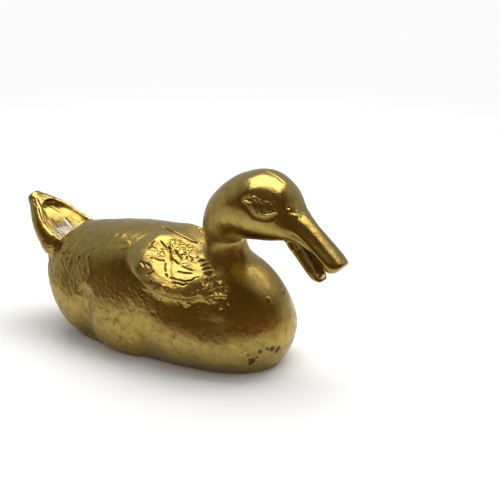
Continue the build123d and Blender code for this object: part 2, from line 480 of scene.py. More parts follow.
# %% Set the bars of the collar
COLLAR_BARS = ((3.5, -6.1), (5.1, -4.8), (6.5, -3.7), (7.8, -2.5), (9.2, -1.2), (10.7, 0.1), (12.2, 1.6))
BAR_SLANT = math.radians(42)
BAR_HEIGHT = 0.75
BAR_HALF_WIDTH = 0.80
BAR_HALF_LENGTH = 1.9
FIRST_BAR = 0.75
BAR_GROWTH = 0.06
BAR_FOOT = 0.25
CHAIN_WIDTH = 1.6
BAR_TARNISH = 0.5
bar_across = np.array([math.sin(BAR_SLANT), -math.cos(BAR_SLANT)])
bar_chain = np.array([math.cos(BAR_SLANT), math.sin(BAR_SLANT)])
bar_zone = (oval < 1.9) * ease(down, -6.4, -5.0) * ease(over_wing, -6.0, -4.0)
bar_zone *= ease(-past_neck, -2.6, -1.0)
for count, centre in enumerate(COLLAR_BARS):
    size = FIRST_BAR + BAR_GROWTH * count
    offset = wing_face - np.array(centre)
    along_chain = offset @ bar_chain / (BAR_HALF_WIDTH * size)
    along_bar = offset @ bar_across / (BAR_HALF_LENGTH * size)
    rise += BAR_HEIGHT * size * mound(np.hypot(along_chain, along_bar), 1.0) * bar_zone * seen_side
between_bars = bar_zone * (rise < BAR_FOOT)
darken(BAR_TARNISH * mound(path_distance(wing_face, COLLAR_CHAIN), CHAIN_WIDTH) * between_bars)
print("bars:", len(COLLAR_BARS), "on each side")

# %% [markdown]
# The chain ends in scattered lumps on the breast. They are ragged, as a chisel leaves them, so their
# outlines are shaken by two random heights. Their places are told by how far ahead they lie and how far
# round the body. The foot of the throat below the neck is dull, and its colour is darkened there as
# painted shade, which dims the lamp's reflection.

# %% Scatter the lumps on the breast
GIRTH_RADIUS = 20.0
GIRTH_HEIGHT = 17.0
LUMPS = (
    (17.7, 19.1, 1.2), (19.4, 18.9, 1.2), (19.9, 17.4, 1.2), (21.2, 16.6, 1.3), (21.7, 21.2, 1.0),
    (23.2, 20.6, 1.1), (23.5, 17.5, 1.0), (23.5, 24.5, 0.9), (25.2, 22.6, 0.7), (15.1, 24.1, 1.1),
    (13.8, 25.6, 1.0), (12.6, 24.9, 1.1), (7.4, 22.8, 0.9), (16.6, 21.8, 0.9),
)
LUMP_HEIGHT = 0.45
LUMP_SPREAD = 1.25
LUMP_SHAKE = 0.75
SCRATCHES = ((21.5, 21.5), (6.5, 6.0))
SCRATCH_RISE = 0.20
THROAT_FOOT = (31.5, -4.0, 28.0)
THROAT_WORN_REACH = 11.0
THROAT_DARK_REACH = 12.0
THROAT_PAINTED_SHADE = 0.62
girth = GIRTH_RADIUS * np.arctan2(np.abs(leftward), height - GIRTH_HEIGHT)
near_lumps = (ahead > 4.0) & (ahead < 29.0) & (girth > 12.0) & (girth < 30.0)
shake = LUMP_SHAKE * lumps(place, size=1.3, seed=12, where=near_lumps)
shake_across = LUMP_SHAKE * lumps(place, size=1.3, seed=13, where=near_lumps)
for at, round_at, radius in LUMPS:
    gap = np.hypot(ahead + shake - at, girth + shake_across - round_at)
    rise += LUMP_HEIGHT * radius * mound(gap, LUMP_SPREAD * radius) * near_lumps * seen_side
scratched = oval_mound(ahead, girth, *SCRATCHES)
rise += SCRATCH_RISE * lumps(place, size=0.9, seed=14, where=scratched > 0.02) * scratched * seen_side
throat_gap = gap_to(side, THROAT_FOOT)
wear(mound(throat_gap, THROAT_WORN_REACH))
# Painted shade: the colour at the foot of the throat is darkened to dim the lamp's reflection there.
darken(THROAT_PAINTED_SHADE * mound(throat_gap, THROAT_DARK_REACH))
print("lumps:", len(LUMPS), "on each side")

# %% [markdown]
# ## The eyes
# Each eye is an almond with a fine raised rim, broken here and there. A fold parts the flat eyeball in
# front from a hollow leaf behind. The lids could be loops of edges, but two lines drawn on a flat face
# over the eye are easier to move, and every vertex can tell how far it lies within them.

# %% Lay a flat face over each eye
EYE_OUT = Vector((0.26, -0.86, 0.43)).normalized()
UPPER_LID = (
    (-5.3, -0.6), (-4.9, 0.5), (-3.6, 1.6), (-1.2, 1.6), (0.1, 1.3),
    (2.0, 2.2), (3.0, 2.4), (4.7, 1.2), (5.2, 0.3),
)
LOWER_LID = (
    (-5.3, -0.6), (-3.0, -0.9), (-2.0, -1.5), (-0.5, -2.2),
    (0.6, -2.3), (2.8, -1.8), (4.0, -0.9), (5.2, 0.3),
)
BEYOND_LIDS = 9.0
eye_along = (EYE_FRONT - EYE_REAR).normalized()
eye_up = eye_along.cross(EYE_OUT).normalized()
if eye_up.z < 0:
    eye_up.negate()
from_eye = side - np.array(EYE_CENTRE)
along_eye = from_eye @ np.array(eye_along)
up_eye = from_eye @ np.array(eye_up)
out_of_eye = from_eye @ np.array(EYE_OUT)
eye_face = np.column_stack([along_eye, up_eye])
at_eye = ease(-np.abs(out_of_eye), -6.5, -5.0) * ease(side_facing @ np.array(EYE_OUT), 0.0, 0.3)
lid_top = np.interp(along_eye, *zip(*UPPER_LID), left=-BEYOND_LIDS, right=-BEYOND_LIDS)
lid_low = np.interp(along_eye, *zip(*LOWER_LID), left=BEYOND_LIDS, right=BEYOND_LIDS)
within = np.minimum(lid_top - up_eye, up_eye - lid_low)
inside = ease(within, 0.0, 0.8)
print("eye almond is", round(UPPER_LID[-1][0] - UPPER_LID[0][0], 1), "mm long")

# %% Chase the lids and the eyeball
EYEBALL = (2.0, 0.7)
EYEBALL_RADIUS = 1.9
EYEBALL_ARC = ((3.7, 1.0), (3.6, 0.2), (2.7, -0.8))
EYE_FOLD = ((-2.1, 1.1), (-0.6, 0.7), (-0.6, -0.5), (0.4, -1.3))
EYE_LEAF = ((-3.3, 0.4), (1.7, 1.0))
EYE_WORN = ((0.0, 0.0), (8.0, 5.0))
EYE_HALF_LENGTH = 5.3
UPPER_RIM_WIDTH = 0.55
UPPER_RIM_RISE = 0.24
FRONT_RIM_SHARE = 0.3
LOWER_RIM_WIDTH = 0.38
LOWER_RIM_RISE = 0.20
RIM_STRENGTH = 0.6
RIM_BREAKS = 1.1
RIM_MOST = 1.2
ARC_WIDTH = 0.32
ARC_RISE = 0.14
FOLD_WIDTH = 0.5
FOLD_RISE = 0.26
EYEBALL_RISE = 0.34
SOCKET_DEPTH = 0.36
LEAF_DEPTH = 0.22
UNDER_EYE_REACH = 1.1
UNDER_EYE_DEPTH = 0.18
SOCKET_GRAIN = 0.16
EYE_WEAR = 0.7
SOCKET_TARNISH = 0.3
UNDER_EYE_TARNISH = 0.25
upper_rim = mound(path_distance(eye_face, rounded(UPPER_LID)), UPPER_RIM_WIDTH)
upper_rim *= FRONT_RIM_SHARE + (1.0 - FRONT_RIM_SHARE) * ease(-along_eye, 0.0, 1.5)
lower_gap = path_distance(eye_face, rounded(LOWER_LID))
lower_rim = mound(lower_gap, LOWER_RIM_WIDTH)
ball = np.sqrt(mound(gap_to(eye_face, EYEBALL), EYEBALL_RADIUS)) * ease(within, -0.4, 0.4)
arc = mound(path_distance(eye_face, rounded(EYEBALL_ARC)), ARC_WIDTH)
fold = mound(path_distance(eye_face, rounded(EYE_FOLD)), FOLD_WIDTH)
leaf = oval_mound(along_eye, up_eye, *EYE_LEAF)
under_eye = mound(lower_gap - UNDER_EYE_REACH, UNDER_EYE_REACH) * ease(lid_low - up_eye, 0.0, 0.5)
under_eye *= np.abs(along_eye) < EYE_HALF_LENGTH
breaks = RIM_BREAKS * lumps(place, size=1.2, seed=26, where=at_eye > 0.0)
broken = np.clip(RIM_STRENGTH + breaks, 0.0, RIM_MOST)
raised = UPPER_RIM_RISE * upper_rim + LOWER_RIM_RISE * lower_rim + ARC_RISE * arc + FOLD_RISE * fold
rise += at_eye * broken * raised
rise += at_eye * (
    EYEBALL_RISE * ball - SOCKET_DEPTH * inside - LEAF_DEPTH * leaf - UNDER_EYE_DEPTH * under_eye
)
rise += SOCKET_GRAIN * lumps(place, size=0.9, seed=24, where=at_eye * inside > 0.0) * at_eye * inside
wear(EYE_WEAR * at_eye * oval_mound(along_eye, up_eye, *EYE_WORN))
socket = SOCKET_TARNISH * inside * (1.0 - ball) * (1.0 - fold)
darken(at_eye * np.maximum(socket, UNDER_EYE_TARNISH * under_eye))
print("eye chasing touches", int((at_eye * inside > 0.1).sum()), "vertices")

# %% [markdown]
# From the front corner of the eye a soft ridge runs to the bill, past a small ring for the nostril, and
# a second short ridge lies above it. They are drawn on the same flat face.

# %% Run the ridges to the bill
LORE_RIDGE = ((3.5, 2.4), (5.3, 1.2), (7.2, 0.8), (10.1, 1.8))
LORE_WIDTH = 1.1
LORE_RISE = 0.11
NOSTRIL = (7.2, 3.2)
NOSTRIL_RADIUS = 0.75
NOSTRIL_RIM_WIDTH = 0.4
NOSTRIL_RIM_RISE = 0.07
NOSTRIL_HOLE = 0.6
NOSTRIL_DEPTH = 0.12
BROW_RIDGE = ((9.9, 3.5), (11.3, 2.4))
BROW_WIDTH = 0.55
BROW_RISE = 0.05
lore = mound(path_distance(eye_face, rounded(LORE_RIDGE)), LORE_WIDTH)
nostril_gap = gap_to(eye_face, NOSTRIL)
nostril = NOSTRIL_RIM_RISE * mound(nostril_gap - NOSTRIL_RADIUS, NOSTRIL_RIM_WIDTH)
nostril -= NOSTRIL_DEPTH * mound(nostril_gap, NOSTRIL_HOLE)
brow = mound(path_distance(eye_face, BROW_RIDGE), BROW_WIDTH)
rise += at_eye * (LORE_RISE * lore + nostril + BROW_RISE * brow)
print("ridges touch", int((at_eye * np.maximum(lore, brow) > 0.1).sum()), "vertices")

# %% [markdown]
# ## The bill
# The upper bill has a rounded ridge along its top, a faint hollow below the ridge, swelled sides and a
# lower edge that turns in. The lower bill is a trough between two rims. Loops of edges could carry
# these forms, but the remeshed skin has none. So how far a point lies down the bill, and below its top
# line, tells which form it belongs to.

# %% Measure along both bills
BILL_DROP = math.radians(41)
BILL_LENGTH = 21.0
BILL_DEPTH = 6.6
BILL_TAPER = ((0.0, 1.0), (0.33, 1.0), (0.69, 0.90), (0.92, 0.84), (1.0, 0.58))
JAW_ROOT = Vector((40.3, 0.0, 44.1))
JAW_DROP = math.radians(53.5)
JAW_LENGTH = 16.0
JAW_TAPER = ((0.0, 1.0), (0.45, 0.98), (0.85, 0.80), (1.0, 0.45))
MOUTH_CORNER = Vector((41.9, 0.0, 44.0))
MOUTH_DROP = math.radians(48)


def sloping(drop):
    """The ways along and up from a line that drops forward."""
    along = np.array([math.cos(drop), 0.0, -math.sin(drop)])
    up = np.array([math.sin(drop), 0.0, math.cos(drop)])
    return along, up


bill_along, bill_up = sloping(BILL_DROP)
jaw_along, jaw_up = sloping(JAW_DROP)
mouth_up = sloping(MOUTH_DROP)[1]
above_mouth = (place - np.array(MOUTH_CORNER)) @ mouth_up
down_bill = (place - np.array(BILL_ROOT)) @ bill_along
bill_share = down_bill / BILL_LENGTH
bill_thick = BILL_DEPTH * np.interp(bill_share, *zip(*BILL_TAPER))
below_top = -((place - np.array(BILL_ROOT)) @ bill_up) / bill_thick
down_jaw = (place - np.array(JAW_ROOT)) @ jaw_along
jaw_size = np.interp(np.clip(down_jaw / JAW_LENGTH, 0.0, 1.0), *zip(*JAW_TAPER))
print("upper bill", BILL_LENGTH, "mm, lower bill", JAW_LENGTH, "mm long")

# %% Shape the upper bill
HOLLOW_AT = 0.20
HOLLOW_WIDTH = 0.20
SIDE_HOLLOW = 0.25
SWELL_AT = 0.36
SWELL_WIDTH = 0.28
SIDE_SWELL = 0.35
LIP_TUCK = 1.5
BILL_WEAR = 0.15
BILL_TOP_PAINTED_SHADE = 0.42
HOLLOW_TARNISH = 0.35
on_bill = ease(down_bill, 1.0, 5.0) * ease(BILL_LENGTH - down_bill, 0.5, 3.5) * ease(above_mouth, 0.0, 0.6)
bill_side = ease(np.abs(facing[:, 1]), 0.15, 0.45) * on_bill
hollow = mound(below_top - HOLLOW_AT, HOLLOW_WIDTH) * bill_side
swell = mound(below_top - SWELL_AT, SWELL_WIDTH) * bill_side * ease(bill_share, 0.0, 0.5)
tuck = ease(below_top, SWELL_AT, 0.90) * bill_side * ease(bill_share, 0.05, 0.4)
tuck *= ease(-bill_share, -0.96, -0.72)
rise += SIDE_SWELL * swell - LIP_TUCK * tuck - SIDE_HOLLOW * hollow
wear(BILL_WEAR * on_bill)
# Painted shade: the up-facing top of the bill is darkened to dim the lamp's highlight along it.
darken(BILL_TOP_PAINTED_SHADE * on_bill * ease(facing[:, 2], 0.40, 0.70))
darken(HOLLOW_TARNISH * hollow)
print("bill hollow touches", int((hollow > 0.1).sum()), "vertices")

# %% Hollow the lower bill
JAW_HALF_WIDTH = 4.4
JAW_RIM = 1.3
JAW_DEPTH = 2.8
JAW_BACK = 1.3
JAW_LOWEST = 29.0
JAW_CORNER_TILT = 0.70
JAW_CORNER_SPAN = 0.52
JAW_RIM_RISE = 0.80
TROUGH_SHARE = 0.55
TROUGH_TARNISH = 0.6
on_jaw = (ahead > JAW_ROOT.x - JAW_BACK) * (height > JAW_LOWEST) * ease(-above_mouth, 0.0, 0.6)
jaw_top = ease(facing @ jaw_up, 0.45, 0.75) * on_jaw * ease(down_jaw, 2.0, 5.0)
in_trough = ease(JAW_HALF_WIDTH * jaw_size - JAW_RIM - np.abs(leftward), 0.0, 0.9)
in_trough *= ease(JAW_LENGTH - down_jaw, 0.8, 2.4)
jaw_corner = mound(facing @ jaw_up - JAW_CORNER_TILT, JAW_CORNER_SPAN) * on_jaw * ease(down_jaw, 3.0, 6.0)
jaw_corner *= ease(JAW_LENGTH - down_jaw, 1.5, 4.0)
rise += JAW_RIM_RISE * jaw_corner * (1.0 - in_trough)
rise -= TROUGH_SHARE * JAW_DEPTH * jaw_size * jaw_top * in_trough
darken(TROUGH_TARNISH * jaw_top * in_trough)
print("trough touches", int((jaw_top * in_trough > 0.1).sum()), "vertices")

# %% [markdown]
# ## The tail feathers
# The scooped face of the tail lies between two thick rounded rims, and its left wall bulges into the
# scoop. A bulge along the wall's own normals would run across the scoop, so this one is a lift straight
# out of it. The rims are raised a little.

# %% Roll the rims of the tail
TAIL_RISE = math.radians(41)
TAIL_ROOT = Vector((-38.57, 0.0, 22.39))
TAIL_LENGTH = 23.0
TAIL_HALF_WIDTH = 11.7
TAIL_TAPER = ((0.0, 1.0), (0.35, 0.95), (0.60, 0.77), (0.82, 0.46), (1.0, 0.17))
TAIL_RIM_INSET = 2.2
TAIL_RIM_WIDTH = 2.8
TAIL_RIM_RISE = 0.3
ROLL_CENTRE = 0.42
ROLL_REACH = 0.60
TAIL_WEAR = 0.5
HOLLOW_START = 4.6
REARWARD = np.array([-1.0, 1.0, 1.0])
tail_along, tail_up = sloping(-TAIL_RISE)
tail_along = tail_along * REARWARD
tail_up = tail_up * REARWARD
up_tail = (place - np.array(TAIL_ROOT)) @ tail_along
facing_up_tail = facing @ tail_up
tail_half = TAIL_HALF_WIDTH * np.interp(up_tail / TAIL_LENGTH, *zip(*TAIL_TAPER))
across_tail = leftward / tail_half
on_tail = ease(up_tail, HOLLOW_START - 0.6, HOLLOW_START + 0.6)
tail_face = ease(facing_up_tail, 0.15, 0.45) * on_tail
short_of_tip = ease(TAIL_LENGTH - up_tail, 1.0, 4.0)
rim_line = mound(np.abs(leftward) - (tail_half - TAIL_RIM_INSET), TAIL_RIM_WIDTH) * short_of_tip
rise += TAIL_RIM_RISE * rim_line * tail_face
roll = np.sqrt(mound(across_tail - ROLL_CENTRE, ROLL_REACH)) * ease(-across_tail, -0.88, -0.66)
roll *= on_tail * ease(facing_up_tail, -0.1, 0.2) * ease(TAIL_LENGTH - up_tail, 3.0, 13.0)
wear(TAIL_WEAR * on_tail * ease(facing_up_tail, 0.0, 0.3))
print("tail roll touches", int((roll > 0.1).sum()), "vertices")

# %% [markdown]
# Long feathers run down the scoop, most of them on its right wall, and draw together at the tip. A
# texture could show them, but they are deep enough to throw shadows. A wave across the tail, measured
# in shares of its width, makes them, and a random height along them makes them waver and break. At
# the root pale patches are painted into the colour: a painted reflection of the white paper there.

# %% Cut the tail feathers
FAN_RIDGES = 17.0
FAN_WAVER = 0.9
FEATHER_DEPTH = 0.40
FEATHER_TARNISH = 0.85
FEATHER_STRETCH = 3.0
PAINTED_REFLECTION_RAGGED = 0.8
on_walls = ease(np.abs(across_tail), 0.12, 0.30) * ease(-across_tail, -0.36, -0.22)
on_walls *= ease(across_tail, -0.86, -0.76)
tail_stretch = np.column_stack([up_tail / FEATHER_STRETCH, leftward, np.zeros(len(place))])
waver = lumps(tail_stretch, size=1.8, seed=6, where=tail_face > 0.0)
ridges = np.abs(np.sin(across_tail * FAN_RIDGES + FAN_WAVER * waver))
tail_cut = (1.0 - ease(ridges, 0.0, 0.60)) * tail_face * on_walls * short_of_tip
tail_cut *= ease(lumps(tail_stretch, size=1.1, seed=16, where=tail_face > 0.0), -0.35, 0.05)
rise -= FEATHER_DEPTH * tail_cut
darken(FEATHER_TARNISH * tail_cut)
# Painted reflection: a pale patch at the root of the scoop stands for the white paper mirrored there.
tail_root = ease(up_tail, HOLLOW_START - 0.5, HOLLOW_START + 0.5) * ease(-up_tail, -13.0, -8.0)
tail_root *= ease(facing_up_tail, 0.3, 0.6) * ease(-np.abs(across_tail + 0.12), -0.42, -0.22)
ragged_edge = PAINTED_REFLECTION_RAGGED * lumps(tail_stretch, size=1.5, seed=25, where=tail_root > 0.0)
painted_reflection = ease(tail_root + ragged_edge, 0.35, 0.6)
print("tail cuts touch", int((tail_cut > 0.1).sum()), "vertices")

# %% [markdown]
# ## The marks of casting and filing
# No cast skin is quite true. Long waves from filing bend the reflections, and a finer ripple and grain
# lie over them. Displace modifiers could do this, but the height has to fade out near the table, so
# that the figure stands flat.

# %% Add the waves of the file
WAVE_RISE = 0.12
RIPPLE_RISE = 0.045
GRAIN_RISE = 0.016
clear_of_table = ease(height, 2.0, 5.0)
rise += WAVE_RISE * lumps(place, size=9.0, seed=7) * clear_of_table
rise += RIPPLE_RISE * lumps(place, size=3.0, seed=8) * clear_of_table
rise += GRAIN_RISE * lumps(place, size=1.3, seed=22) * clear_of_table
print("waves, ripple and grain lift the skin by up to about", WAVE_RISE + RIPPLE_RISE + GRAIN_RISE, "mm")

# %% [markdown]
# The shoulders dip behind the neck, a groove runs up behind each thigh, the thigh swells before it, and
# the breast and the rump swell low down and are dished higher up. Polished metal is a curved mirror, so
# these slow changes of slope place the bright and dark bands.

# %% Swell and hollow the body
THIGH_LINE = ((-24.4, -14.7, 28.0), (-21.6, -17.5, 24.7), (-22.1, -19.6, 18.8), (-22.4, -19.8, 15.0))
THIGH_LINE_WIDTH = 0.7
THIGH_LINE_RISE = 0.16
THIGH_GROOVE = ((-22.2, -19.6, 17.0), (-22.5, -19.7, 12.3), (-23.4, -17.6, 6.8), (-24.9, -15.1, 2.0))
THIGH_GROOVE_WIDTH = 4.6
THIGH_GROOVE_DEPTH = 1.30
THIGH_BULGE = (-14.0, -19.5, 12.0)
THIGH_BULGE_RADIUS = 13.0
THIGH_BULGE_RISE = 0.80
SHOULDER_BACK = 1.8
SHOULDER_WIDTH = 4.2
SHOULDER_DEPTH = 0.9
SWELL_HEIGHT = 7.5
SWELL_REACH = 11.0
DISH_HEIGHT = 22.5
DISH_REACH = 7.5
BREAST_FADE = 0.8
FRONT_SWELL = 0.75
FRONT_DISH = 0.45
SIDE_DISH = 0.25
REAR_SWELL = 0.25
REAR_DISH = 0.95
rise += THIGH_LINE_RISE * mound(path_distance(side, THIGH_LINE), THIGH_LINE_WIDTH)
rise -= THIGH_GROOVE_DEPTH * mound(path_distance(side, THIGH_GROOVE), THIGH_GROOVE_WIDTH)
rise += THIGH_BULGE_RISE * mound(gap_to(side, THIGH_BULGE), THIGH_BULGE_RADIUS)
shoulder_dip = mound(past_neck + SHOULDER_BACK, SHOULDER_WIDTH) * ease(height, 29.0, 33.0)
rise -= SHOULDER_DEPTH * shoulder_dip
low_swell = mound(height - SWELL_HEIGHT, SWELL_REACH) * ease(height, 0.0, 5.0)
high_dish = mound(height - DISH_HEIGHT, DISH_REACH)
sideways = ease(np.abs(facing[:, 1]), 0.35, 0.75)
at_front = ease(ahead, -4.0, 9.0) * ease(-past_neck, -19.0, -3.0)
at_rear = ease(-ahead, 20.0, 31.0) * ease(-past_tail, 0.5, 3.0)
behind_breast = 1.0 - BREAST_FADE * ease(ahead, 27.0, 40.0)
rise += at_front * behind_breast * (FRONT_SWELL + FRONT_SWELL * sideways) * low_swell
rise -= at_front * ease(-ahead, -24.0, -12.0) * (FRONT_DISH + SIDE_DISH * sideways) * high_dish
rise += at_rear * (REAR_SWELL * low_swell - REAR_DISH * high_dish)
print("largest rise", rise.max().round(2), "deepest cut", rise.min().round(2), "mm")

# %% [markdown]
# ## The small marks
# A curved cut runs along the back like the edge of a saddle, and another along the crown. Faint rings
# lie on the back, small beads and a ridge on the rump, and a raised nick on the breast. Each is a path or
# a place on the skin, so it can be moved by its numbers.

# %% Add the cuts on the back and the crown
SADDLE_CUT = ((-5.9, -1.3), (-0.9, -3.1), (2.3, -3.3), (5.2, -3.0), (7.0, -1.8))
SADDLE_CUT_WIDTH = 0.45
SADDLE_CUT_DEPTH = 0.30
SADDLE_EDGE = ((-5.9, -0.5), (-0.9, -2.3), (2.3, -2.5), (5.2, -2.2), (7.4, -1.0))
SADDLE_EDGE_WIDTH = 0.7
SADDLE_EDGE_RISE = 0.12
SADDLE_TARNISH = 0.9
CROWN_CUT = ((28.5, 0.0), (32.0, 0.25), (35.5, 0.0))
CROWN_CUT_WIDTH = 0.42
CROWN_CUT_DEPTH = 0.12
CROWN_SHAKE = 0.25
CROWN_TARNISH = 0.8
on_top = ease(facing[:, 2], 0.5, 0.7) * ease(-past_neck, -0.5, 0.5)
saddle_cut = mound(path_distance(place[:, :2], SADDLE_CUT), SADDLE_CUT_WIDTH) * on_top
saddle_edge = mound(path_distance(place[:, :2], SADDLE_EDGE), SADDLE_EDGE_WIDTH) * on_top
rise += SADDLE_EDGE_RISE * saddle_edge - SADDLE_CUT_DEPTH * saddle_cut
darken(SADDLE_TARNISH * saddle_cut)
crown = ease(facing[:, 2], 0.3, 0.5) * ease(past_neck, 14.0, 17.0)
shaken = leftward + CROWN_SHAKE * lumps(place, size=2.0, seed=9, where=crown > 0.0)
crown_face = np.column_stack([ahead, shaken])
crown_cut = mound(path_distance(crown_face, CROWN_CUT), CROWN_CUT_WIDTH) * crown
rise -= CROWN_CUT_DEPTH * crown_cut
darken(CROWN_TARNISH * crown_cut)
print("cuts touch", int((np.maximum(saddle_cut, crown_cut) > 0.1).sum()), "vertices")

# %% Add the rings, the beads and the nick
BACK_RINGS = ((-30.0, -2.6, 32.6), (-23.8, -6.7, 33.0), (-17.2, -8.1, 33.6), (-13.2, -11.1, 32.5))
RING_RADIUS = 1.5
RING_WIDTH = 0.6
RING_RISE = 0.08
RUMP_BEADS = (
    (-35.6, -12.8, 26.2), (-28.3, -14.5, 27.1), (-34.5, -10.0, 29.2),
    (-35.1, -14.5, 23.3), (-31.5, -15.3, 24.4),
)
BEAD_RADIUS = 0.9
BEAD_RISE = 0.24
RUMP_RIDGE = ((-32.5, -9.5, 29.8), (-34.5, -12.0, 27.0), (-36.0, -14.0, 23.5))
RUMP_RIDGE_WIDTH = 0.9
RUMP_RIDGE_RISE = 0.16
BREAST_NICK = ((32.9, -3.8, 23.1), (33.7, -3.8, 22.1))
NICK_WIDTH = 0.7
NICK_RISE = 0.30
for centre in BACK_RINGS:
    rise += RING_RISE * mound(gap_to(side, centre) - RING_RADIUS, RING_WIDTH)
for centre in RUMP_BEADS:
    rise += BEAD_RISE * mound(gap_to(side, centre), BEAD_RADIUS)
rise += RUMP_RIDGE_RISE * mound(path_distance(side, RUMP_RIDGE), RUMP_RIDGE_WIDTH)
rise += NICK_RISE * mound(path_distance(side, BREAST_NICK), NICK_WIDTH)
print("rings and beads:", len(BACK_RINGS) + len(RUMP_BEADS), "on each side")

# %% [markdown]
# ## The etched flanks and the stains
# Low on the flanks the polish never took out the rough skin of the mould: it is streaky and pitted.
# A bump alone would look painted on where the light grazes it. So the streaks are random heights that
# are stretched on a slant, and each pit is pressed into the few vertices near it.

# %% Etch the flanks and pit them
ETCH_RISE = 0.12
ETCH_GRAIN = 0.6 * ETCH_RISE
ETCH_WEAR = 0.6
STREAK_LENGTH = 3.2
STREAK_DEPTH = 1.4
PIT_COUNT = 260
PIT_DEPTH = 0.13
PIT_TARNISH = 0.5
PIT_RADII = (0.3, 0.7)
PIT_SEED = 11
flank = ease(height, 2.0, 6.0) * ease(-height, -29.0, -24.0) * ease(np.abs(facing[:, 1]), 0.35, 0.6)
etched = flank * (0.3 + 0.7 * ease(-ahead, -8.0, 10.0))
streaks = np.column_stack([(ahead - height) / STREAK_LENGTH, leftward / STREAK_DEPTH, ahead + height])
rise += ETCH_RISE * lumps(streaks, size=1.0, seed=17, where=etched > 0.0) * etched
rise += ETCH_GRAIN * lumps(place, size=0.8, seed=18, where=etched > 0.0) * etched
wear(ETCH_WEAR * etched)
chance = np.random.default_rng(PIT_SEED)
low_skin = np.flatnonzero((flank > 0.3) & (ahead < 20.0))
tree = kdtree.KDTree(len(low_skin))
for index in low_skin:
    tree.insert(place[index], index)
tree.balance()
for _ in range(PIT_COUNT):
    centre = place[chance.choice(low_skin)]
    radius = chance.uniform(*PIT_RADII)
    for _, index, gap in tree.find_range(Vector(centre), radius):
        depth = (1.0 - (gap / radius) ** 2) ** 2
        rise[index] -= PIT_DEPTH * depth
        tarnish_and_shade[index] = max(tarnish_and_shade[index], PIT_TARNISH * depth)
print("pits:", PIT_COUNT)

# %% [markdown]
# Low on the breast a few dark stains show where damp ate into the brass. Each is a ragged round patch,
# a little sunk. The material darkens it later.

# %% Lay the stains
STAINS = (
    (31.2, -10.6, 6.0, 1.9), (30.6, -11.8, 8.5, 0.9), (33.3, -9.5, 8.9, 1.1), (34.6, -7.7, 9.3, 0.9),
    (35.6, -6.0, 8.8, 1.3), (36.6, -4.3, 7.8, 1.8), (32.6, -9.9, 7.0, 0.7),
)
STAIN_RAGGED = 0.4
STAIN_DEPTH = 0.06
stain = np.zeros(len(place))
for *centre, radius in STAINS:
    gap = gap_to(side, centre)
    ragged = 1.0 - gap / radius + STAIN_RAGGED * lumps(place, size=1.0, seed=19, where=gap < 2.0 * radius)
    stain = np.maximum(stain, ease(ragged, 0.15, 0.45))
rise -= STAIN_DEPTH * stain
print("stains:", len(STAINS), "on each side")

# %% [markdown]
# ## Move the skin
# All heights are summed up, so each vertex moves once, along its normal. The left wall of the tail is
# lifted out of the scoop besides. At the table nothing moves. What the material has to know is stored
# on the vertices as named layers.

# %% Move the skin by its marks
TAIL_ROLL = 1.8
LAYERS = {"tarnish_and_shade": tarnish_and_shade, "stain": stain, "worn": worn, "painted_reflection": painted_reflection}
place += facing * (rise * ease(height, 0.1, 1.2))[:, None] + TAIL_ROLL * roll[:, None] * tail_up
place[:, 2] = np.maximum(place[:, 2], 0.0)
for vertex, point in zip(skin.verts, place):
    vertex.co = point
for name, values in LAYERS.items():
    layer = skin.verts.layers.float.new(name)
    for vertex, value in zip(skin.verts, values):
        vertex[layer] = value
skin.normal_update()
print("sculpted", len(skin.verts), "vertices, layers:", ", ".join(LAYERS))

# %% [markdown]
# ## The brass
# Old polished brass is a clear metal with an olive cast where it has dulled, brown tarnish in its
# hollows and dark specks where damp got in. The same brown is also painted as shade on the foot of the
# throat and the top of the bill, and a pale painted reflection lies at the root of the tail. A photograph
# of brass would carry its own reflections, so the colour is built from noise and from the layers on the
# vertices. A few helpers keep that short.

# %% Helpers for shader nodes
# The Mix node repeats its socket names for each kind of data, so its colour sockets go by number.
MIX_SHARE = 0
MIX_COLOURS = (6, 7)
MIX_RESULT = 2


def add_node(tree, kind, **settings):
    node = tree.nodes.new(kind)
    for name, value in settings.items():
        setattr(node, name, value)
    return node


def add_noise(tree, coords, scale, detail, rough):
    node = add_node(tree, "ShaderNodeTexNoise")
    node.inputs["Scale"].default_value = scale
    node.inputs["Detail"].default_value = detail
    node.inputs["Roughness"].default_value = rough
    tree.links.new(coords, node.inputs["Vector"])
    return node.outputs["Fac"]


def add_range(tree, value, low, high, to_low=0.0, to_high=1.0):
    node = add_node(tree, "ShaderNodeMapRange")
    node.inputs["From Min"].default_value = low
    node.inputs["From Max"].default_value = high
    node.inputs["To Min"].default_value = to_low
    node.inputs["To Max"].default_value = to_high
    tree.links.new(value, node.inputs["Value"])
    return node.outputs["Result"]


def add_math(tree, operation, first, second):
    node = add_node(tree, "ShaderNodeMath", operation=operation)
    for socket, value in zip(node.inputs, (first, second)):
        if isinstance(value, float):
            socket.default_value = value
        else:
            tree.links.new(value, socket)
    return node.outputs["Value"]


def add_colour_mix(tree, share, *colours):
    node = add_node(tree, "ShaderNodeMix", data_type="RGBA")
    tree.links.new(share, node.inputs[MIX_SHARE])
    for number, value in zip(MIX_COLOURS, colours):
        if isinstance(value, tuple):
            node.inputs[number].default_value = (*value, 1.0)
        else:
            tree.links.new(value, node.inputs[number])
    return node.outputs[MIX_RESULT]


def add_height(tree, coords):
    """How high each place lies."""
    split = add_node(tree, "ShaderNodeSeparateXYZ")
    tree.links.new(coords, split.inputs["Vector"])
    return split.outputs["Z"]


print("node helpers ready")

# %% [markdown]
# All three metals of the part age alike, so they share one group of nodes. It works out the colour, the
# roughness and a fine height, and each material gives it its own clean and dull metal.

